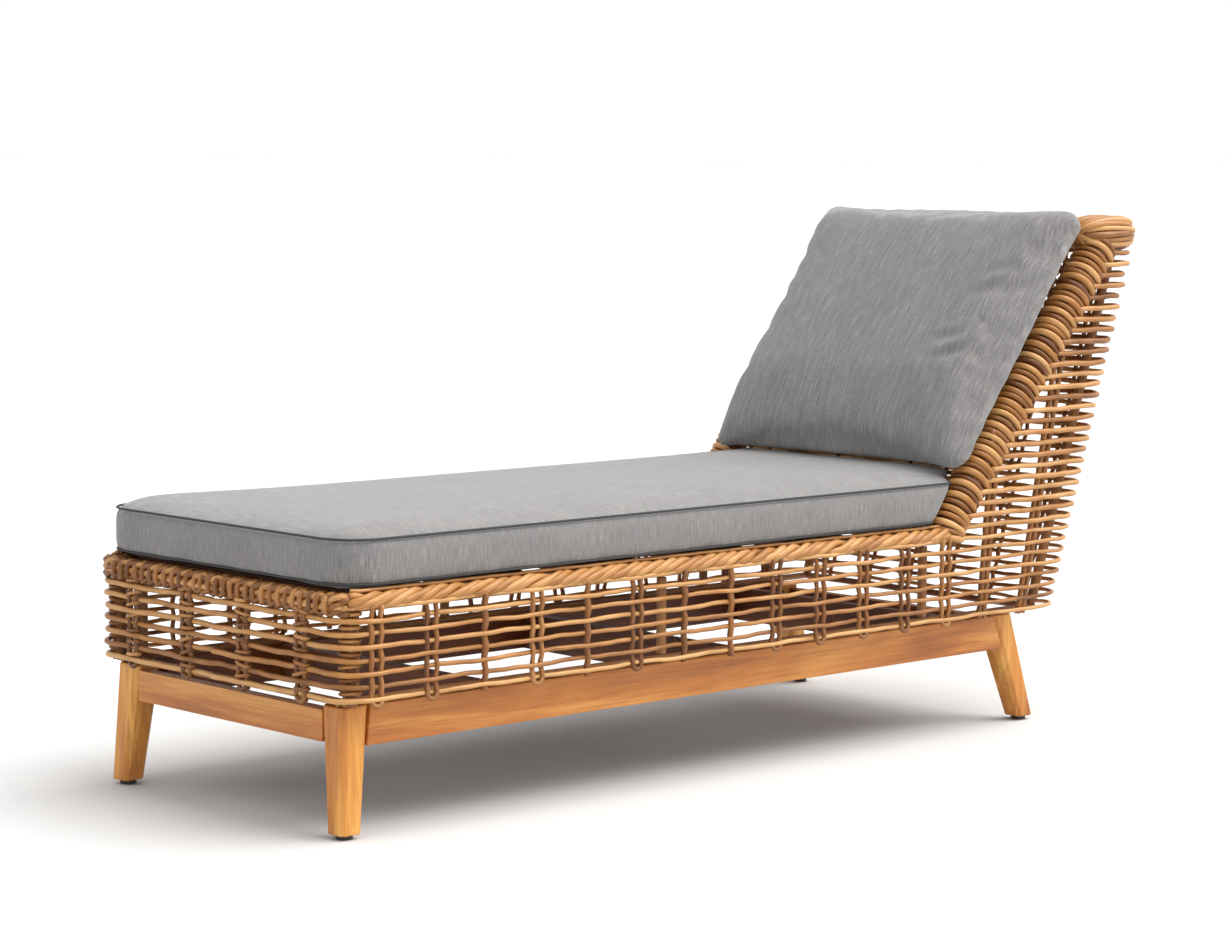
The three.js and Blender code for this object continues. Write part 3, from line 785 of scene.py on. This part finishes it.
def build_inner_back(cane, dark):
    """The sloping inner panel that the back cushion leans on."""
    half = PANEL_HI.y - 0.004
    lean = (PANEL_HI.x - PANEL_LO.x - PANEL_THICK) / (PANEL_HI.z - PANEL_LO.z)
    rise = np.arange(PANEL_LO.z + 0.010, PANEL_HI.z - 0.006, 0.0135)
    staves = np.linspace(-0.24, 0.24, 6)
    rows = Strands()
    for row, z in enumerate(rise):
        y = np.linspace(-half, half, 56)
        x = PANEL_LO.x + PANEL_THICK / 2 + lean * (z - PANEL_LO.z)
        bend = 0.0035 * np.cos(math.pi * ((y - staves[0]) / (staves[1] - staves[0]) + row))
        points = np.stack([x + bend, y, np.full_like(y, z) + wander(y + half, 0.001, 0.3)], -1)
        rows.add(points, 0.0046)
    rows.build("inner_back_rows", cane, "inner_back_weave")
    uprights = Strands()
    for y in staves:
        foot = (PANEL_LO.x + PANEL_THICK / 2, y, PANEL_LO.z + 0.003)
        head = (PANEL_HI.x - PANEL_THICK / 2, y, PANEL_HI.z - 0.003)
        uprights.add(line(foot, head), 0.0045, ref=(0, 1, 0))
    uprights.build("inner_back_staves", dark)


# ---- timber, poles and glides ----------------------------------------------------------------
def soften_edges(node, width):
    """Welds a CAD node's split corners and rounds its edges."""
    node.modifiers.new("weld", "WELD")
    bevel = node.modifiers.new("bevel", "BEVEL")
    bevel.width = width
    bevel.segments = 3
    bevel.limit_method = "ANGLE"
    bevel.angle_limit = math.radians(28)


def finish_node(name, material, bevel=0.0):
    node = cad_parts[name]
    node.data.materials.clear()
    node.data.materials.append(material)
    if bevel:
        soften_edges(node, bevel)


# the dark, middle and light tone of each wood
TEAK = ((0.25, 0.070, 0.012), (0.46, 0.160, 0.026), (0.66, 0.30, 0.068))
# painted light: a lighter copy of the teak for the legs, standing in for the lamp's light on their
# faces
LIT_LEG_TEAK = ((0.31, 0.095, 0.014), (0.57, 0.225, 0.036), (0.78, 0.41, 0.095))
# painted shade: the inner boards are a near-black copy of the teak, standing in for the shade under
# the seat
INNER_PAINTED_SHADE = ((0.07, 0.018, 0.006), (0.13, 0.036, 0.011), (0.22, 0.07, 0.022))
POLE = ((0.16, 0.06, 0.018), (0.30, 0.13, 0.042), (0.46, 0.22, 0.08))


def build_timber():
    # the legs take the lighter, painted-light copy of the teak
    leg = wood_material("teak_leg", 2, *LIT_LEG_TEAK)
    inner = {k: wood_material(f"inner_{'xyz'[k]}", k, *INNER_PAINTED_SHADE, 0.55) for k in (1, 2)}
    pole = {k: wood_material(f"pole_{'xyz'[k]}", k, *POLE, 0.5) for k in range(3)}
    # the rails and aprons get painted shade on their inward faces
    rail = wood_material("teak_rail", 0, *TEAK, inside=1)
    apron = wood_material("teak_apron", 1, *TEAK, inside=0)
    black = plain_material("black_plastic", (0.02, 0.02, 0.02), 0.5)
    # starts of node names, their material and the width of their rounded edges: first match wins
    finishes = (
        (("leg_",), leg, 0.0025),
        (("side_rail",), rail, 0.002),
        (("foot_apron", "head_apron"), apron, 0.002),
        # cross bearers, deck slats and corner blocks take the near-black teak, painted shade for
        # the hollow under the seat
        (("cross_bearer", "deck_slat"), inner[1], 0.002),
        (("corner_block",), inner[2], 0.002),
        (("base_pole_foot", "base_pole_head", "rim_pole_foot", "rim_pole_head"), pole[1], 0),
        (("base_pole", "rim_pole"), pole[0], 0),
        (("post_", "back_post"), pole[2], 0),
        (("glide_",), black, 0.0015),
    )
    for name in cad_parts:
        for starts, material, bevel in finishes:
            if name.startswith(starts):
                finish_node(name, material, bevel)
                break


# ---- cushions --------------------------------------------------------------------------------
PIPING_R = 0.0021
PIPING_INSET = 0.0028
SEAM_LOW, SEAM_HIGH = 0.4118, 0.4835
CROWN, CROWN_RUN = 0.030, 0.06  # the top's rise, and the distance over which it comes up
BELLY_RUN = 0.012


def rounded_outline(corners, step=0.010):
    """A closed outline through (x, y, radius) corners, rounded at each, in even steps."""
    points = []
    count = len(corners)
    for k, (x, y, r) in enumerate(corners):
        here = np.array((x, y))
        before = unit(np.array(corners[k - 1][:2]) - here)
        after = unit(np.array(corners[(k + 1) % count][:2]) - here)
        for t in np.linspace(0, 1, 9):
            a, b, c = here + before * r, here, here + after * r
            points.append((1 - t) ** 2 * a + 2 * t * (1 - t) * b + t**2 * c)
    points = np.array(points + points[:1])
    along = run_length(points)
    steps = np.arange(0, along[-1], step)
    return np.stack([np.interp(steps, along, points[:, k]) for k in range(2)], -1)


def seat_outline(extra=0.0):
    """The cushion's plan inside its seams, with its head end moved on by extra."""
    foot, at_rail, end = SEAT_LO.x + 0.001, RAIL_LO.x + 0.001 + extra, SEAT_HI.x - 0.003 + extra
    wide, tongue = SEAT_HI.y - 0.003, RAIL_Y - RAIL_R - 0.009
    half = [
        (foot, -wide, 0.082),
        (at_rail, -wide, 0.03),
        (at_rail, -tongue, 0.012),
        (end, -tongue, 0.03),
    ]
    return rounded_outline(half + [(x, -y, r) for x, y, r in half[::-1]])


def lean_end(points):
    """Slants the cushion's end: its sides follow the wing rails, and its middle the inner back."""
    beside = np.clip((np.abs(points[:, 1]) - (RAIL_Y - RAIL_R - 0.012)) / 0.008, 0, 1)
    by_rail = np.clip((points[:, 0] - RAIL_LO.x + 0.12) / 0.11, 0, 1)
    by_back = np.clip((points[:, 0] - SEAT_HI.x + 0.12) / 0.11, 0, 1)
    over = np.clip(points[:, 2], SEAM_LOW, SEAM_HIGH + 0.02) - SEAM_LOW
    points[:, 0] += over * (0.69 * beside * by_rail + 0.64 * (1 - beside) * by_back)
    return points


def distance_to(outline, points):
    """Each point's distance in plan from an outline, worked out in batches to save memory."""
    batches = np.array_split(points[:, :2], len(points) // 4000 + 1)
    gaps = [np.linalg.norm(part[:, None] - outline[None], axis=-1) for part in batches]
    return np.concatenate([gap.min(1) for gap in gaps])


def coordinates(mesh):
    flat = np.empty(len(mesh.vertices) * 3, np.float32)
    mesh.vertices.foreach_get("co", flat)
    return flat.reshape(-1, 3).astype(float)


def set_coordinates(mesh, points):
    mesh.vertices.foreach_set("co", points.astype(np.float32).ravel())
    mesh.update()


def voxel_prism(name, outline, low, high, voxel):
    """A closed prism over an outline, remeshed into even quads."""
    count = len(outline)
    verts = [(x, y, z) for z in (low, high) for x, y in outline]
    faces = [tuple(range(count))[::-1], tuple(range(count, 2 * count))]
    faces += [(k, (k + 1) % count, count + (k + 1) % count, count + k) for k in range(count)]
    mesh = bpy.data.meshes.new(name)
    mesh.from_pydata(verts, [], faces)
    piece = bpy.data.objects.new(name, mesh)
    bpy.context.scene.collection.objects.link(piece)
    remesh = piece.modifiers.new("remesh", "REMESH")
    remesh.mode = "VOXEL"
    remesh.voxel_size = voxel
    apply_modifiers(piece)
    return piece


def apply_modifiers(piece):
    graph = bpy.context.evaluated_depsgraph_get()
    graph.update()
    made = bpy.data.meshes.new_from_object(piece.evaluated_get(graph))
    piece.modifiers.clear()
    old, piece.data = piece.data, made
    bpy.data.meshes.remove(old)


def inflate(piece, pressure, frames, cap, pinned=()):
    """Swells a closed mesh as filled cloth, holding the pinned points, and moves no point further
    than cap."""
    before = coordinates(piece.data)
    cloth = piece.modifiers.new("cloth", "CLOTH")
    settings = cloth.settings
    settings.quality = 5
    settings.mass = 0.3
    settings.tension_stiffness = settings.compression_stiffness = 15
    settings.shear_stiffness = 5
    settings.bending_stiffness = 0.4
    settings.use_pressure = True
    settings.uniform_pressure_force = pressure
    settings.effector_weights.gravity = 0
    cloth.point_cache.frame_start, cloth.point_cache.frame_end = 1, frames
    if len(pinned):
        group = piece.vertex_groups.new(name="pinned")
        group.add([int(k) for k in pinned], 1.0, "ADD")
        settings.vertex_group_mass = group.name
    for step in range(1, frames + 1):
        bpy.context.scene.frame_set(step)
    apply_modifiers(piece)
    moved = coordinates(piece.data) - before
    far = np.linalg.norm(moved, axis=1, keepdims=True)
    after = before + moved * np.minimum(1, cap / np.maximum(far, 1e-9))
    bpy.context.scene.frame_set(1)
    return after


def finish_cloth(piece, cloth, material, body, node):
    """Gives a cushion its cloth coordinates, one subdivision, its material and its body."""
    data = piece.data.attributes.new("cloth", "FLOAT_VECTOR", "POINT").data
    data.foreach_set("vector", cloth.astype(np.float32).ravel())
    divide = piece.modifiers.new("divide", "SUBSURF")
    divide.levels = divide.render_levels = 1
    apply_modifiers(piece)
    piece.data.shade_smooth()
    piece.data.materials.append(material)
    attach(piece, body)
    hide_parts(node)


def build_seat(fabric, dark):
    """A boxed cushion: crowned top, flat boxing between two piped seams."""
    outline = seat_outline()
    seat = voxel_prism("seat_pad", outline, SEAM_LOW, SEAM_HIGH, 0.011)
    points = coordinates(seat.data)
    depth = distance_to(outline, points)
    above = points[:, 2] > (SEAM_LOW + SEAM_HIGH) / 2
    edge = distance_to(seat_outline(0.15), points)
    crown = CROWN * (1 - np.exp(-edge / CROWN_RUN))
    belly = (SEAM_LOW - SEAT_LO.z - 0.001) * (1 - np.exp(-depth / BELLY_RUN))
    points[:, 2] += np.where(above, crown, -belly)
    set_coordinates(seat.data, points)
    from_low, from_high = np.abs(points[:, 2] - SEAM_LOW), np.abs(points[:, 2] - SEAM_HIGH)
    pinned = np.flatnonzero((depth < 0.007) & (np.minimum(from_low, from_high) < 0.005))
    points = inflate(seat, pressure=3, frames=12, cap=0.010, pinned=pinned)
    lowest, highest = SEAT_LO.z + 0.001, SEAT_HI.z - 0.0005
    top = SEAM_HIGH + (highest - SEAM_HIGH) * np.tanh((points[:, 2] - SEAM_HIGH) / 0.020)
    points[:, 2] = np.where(points[:, 2] > SEAM_HIGH, top, np.maximum(points[:, 2], lowest))
    set_coordinates(seat.data, points)
    seat.modifiers.new("smooth", "SMOOTH").iterations = 2
    apply_modifiers(seat)
    points = lean_end(coordinates(seat.data))
    set_coordinates(seat.data, points)
    x, y, z = points.T
    on_boxing = z < SEAM_HIGH - 0.002
    on_side = on_boxing & (distance_to(outline, points) < 0.008)
    on_end = on_boxing & (x < SEAT_LO.x + 0.02)
    across = np.where(on_end, y, x)
    up = np.where(on_side | on_end, z, y + np.clip(z, SEAM_LOW, SEAM_HIGH))
    cloth = np.stack([across, up, np.zeros_like(z)], -1)
    finish_cloth(seat, cloth, fabric, "seat_cushion", "seat_cushion")
    for name, z in (("piping_low", SEAM_LOW), ("piping_high", SEAM_HIGH)):
        cord = Strands()
        seam = outline - PIPING_INSET * outward(outline)
        ring = np.concatenate([seam, np.full((len(seam), 1), z)], 1)
        cord.add(lean_end(ring), PIPING_R, closed=True)
        cord.build(name, dark, slot="fabric", body="seat_cushion")


PILLOW_FOOT = Vector((PANEL_LO.x, 0, PANEL_LO.z))
PILLOW_UP = Vector((0.69, 0, 1)).normalized()
PILLOW_OUT = Vector((-PILLOW_UP.z, 0, PILLOW_UP.x))
PILLOW_HALF = 0.326
PILLOW_START, PILLOW_END = 0.096, 0.670
PILLOW_SEAM = 0.048  # the seam's distance off the panel, level with the wing rails' fronts
PILLOW_FRONT = 0.084  # how far its front bulges beyond the seam
PILLOW_TILT = -0.035  # the top of the cushion sinks closer to the panel than its foot
PILLOW_ASIDE = -0.024  # it lies a little off centre
PILLOW_CORNER = 0.038
RAIL_FRONT = 0.047  # how far the wing rails' fronts stand off the panel, low down
INNER_HALF = RAIL_Y - RAIL_R - 0.012  # half the gap between the wing rails
# place across, place up the slope, turn, length and depth in mm of each crease
CREASES = (
    (-0.240, -0.085, -0.5, 0.034, 8.0),
    (-0.215, -0.050, -0.4, 0.030, 5.0),
    (-0.258, 0.070, -0.7, 0.030, 7.0),
    (-0.262, 0.115, -0.6, 0.026, 4.0),
    (-0.120, 0.235, 0.2, 0.040, 3.0),
    (0.245, 0.150, 0.9, 0.040, 4.0),
)


def build_pillow(fabric):
    """A loose cushion sewn from two panels and blown up, leaning on the inner back."""
    half = (PILLOW_END - PILLOW_START) / 2
    corners = [(PILLOW_HALF * x, half * y, PILLOW_CORNER) for x, y in CORNER_SIGNS]
    outline = rounded_outline(corners)
    pillow = voxel_prism("back_pad", outline, -0.006, 0.006, 0.0085)
    points = coordinates(pillow.data)
    depth = distance_to(outline, points)
    points[:, 2] += np.sign(points[:, 2]) * 0.052 * np.sqrt(1 - np.exp(-depth / 0.085))
    set_coordinates(pillow.data, points)
    points = inflate(pillow, pressure=4, frames=16, cap=0.024)
    low, high = points.min(0), points.max(0)
    x, y, z = (2 * (points - (low + high) / 2) / (high - low)).T  # from -1 to 1 over the cushion
    across, up = x * PILLOW_HALF, y * half
    across += 0.011 * np.sign(x) * (1 - y**2) * x**2
    up += 0.006 * (y > 0) * (1 - x**2) * y**2
    out = z * np.where(z > 0, PILLOW_FRONT, PILLOW_SEAM - 0.002)
    for crease_x, crease_up, turn, length, depth_mm in CREASES:  # on the front face only
        away_x, away_up = across - crease_x, up - crease_up
        along = away_x * math.cos(turn) + away_up * math.sin(turn)
        beside = away_up * math.cos(turn) - away_x * math.sin(turn) - 2.2 * along**2
        dent = np.exp(-((along / length) ** 2)) * np.exp(-((beside / 0.009) ** 2))
        ridge = np.exp(-((along / length) ** 2)) * np.exp(-(((beside - 0.017) / 0.010) ** 2))
        out = out - np.where(out > 0, (dent - 0.45 * ridge) * depth_mm / 1000, 0)
    slope = up + (PILLOW_START + PILLOW_END) / 2
    rail_gap = RAIL_FRONT - 0.13 * np.clip(slope - 0.12, 0, 0.36)
    lap = np.clip((np.abs(across + PILLOW_ASIDE) - INNER_HALF) / 0.012, 0, 1)
    out = np.maximum(out + PILLOW_SEAM + PILLOW_TILT * up, np.maximum(rail_gap * lap, 0.001))
    lift = out + PANEL_THICK * PILLOW_UP.z
    placed = (
        np.array(PILLOW_FOOT)
        + (across + PILLOW_ASIDE)[:, None] * np.array((0.0, 1.0, 0.0))
        + slope[:, None] * np.array(PILLOW_UP)
        + lift[:, None] * np.array(PILLOW_OUT)
    )
    foot_edge = PILLOW_FOOT.z + PILLOW_START * PILLOW_UP.z + lift * PILLOW_OUT.z
    sag = np.clip((-0.12 - up) / 0.14, 0, 1) ** 1.5
    placed[:, 2] -= sag * np.clip(foot_edge - SEAT_HI.z, 0, 0.060)
    placed[:, 2] = np.maximum(placed[:, 2], SEAT_HI.z + 0.001)
    set_coordinates(pillow.data, placed)
    cloth = np.stack([across, slope, out], -1)
    finish_cloth(pillow, cloth, fabric, "back_cushion", "back_cushion")


# ---- build -----------------------------------------------------------------------------------
CANE = cane_material("cane", (0.13, 0.040, 0.008), (0.38, 0.160, 0.036), (0.63, 0.36, 0.14))
BROWN = cane_material("cane_brown", (0.10, 0.030, 0.007), (0.31, 0.125, 0.030), (0.56, 0.29, 0.10))
DARK = cane_material("cane_dark", (0.06, 0.018, 0.005), (0.17, 0.062, 0.018), (0.33, 0.15, 0.05))
FABRIC = fabric_material("linen", 0.84)
PIPING = plain_material("piping", (0.03, 0.03, 0.032), 0.8, 900)
build_rows(CANE)
build_staves(BROWN)
build_foot_details(BROWN)
build_rims(CANE, BROWN)
build_wing_rails(CANE, DARK)
build_top_rail(CANE, DARK)
build_inner_back(CANE, DARK)
build_timber()
build_seat(FABRIC, PIPING)
build_pillow(FABRIC)

# ---- finish ----------------------------------------------------------------------------------
add_camera()
add_studio()
bpy.context.scene.view_settings.view_transform = "Standard"
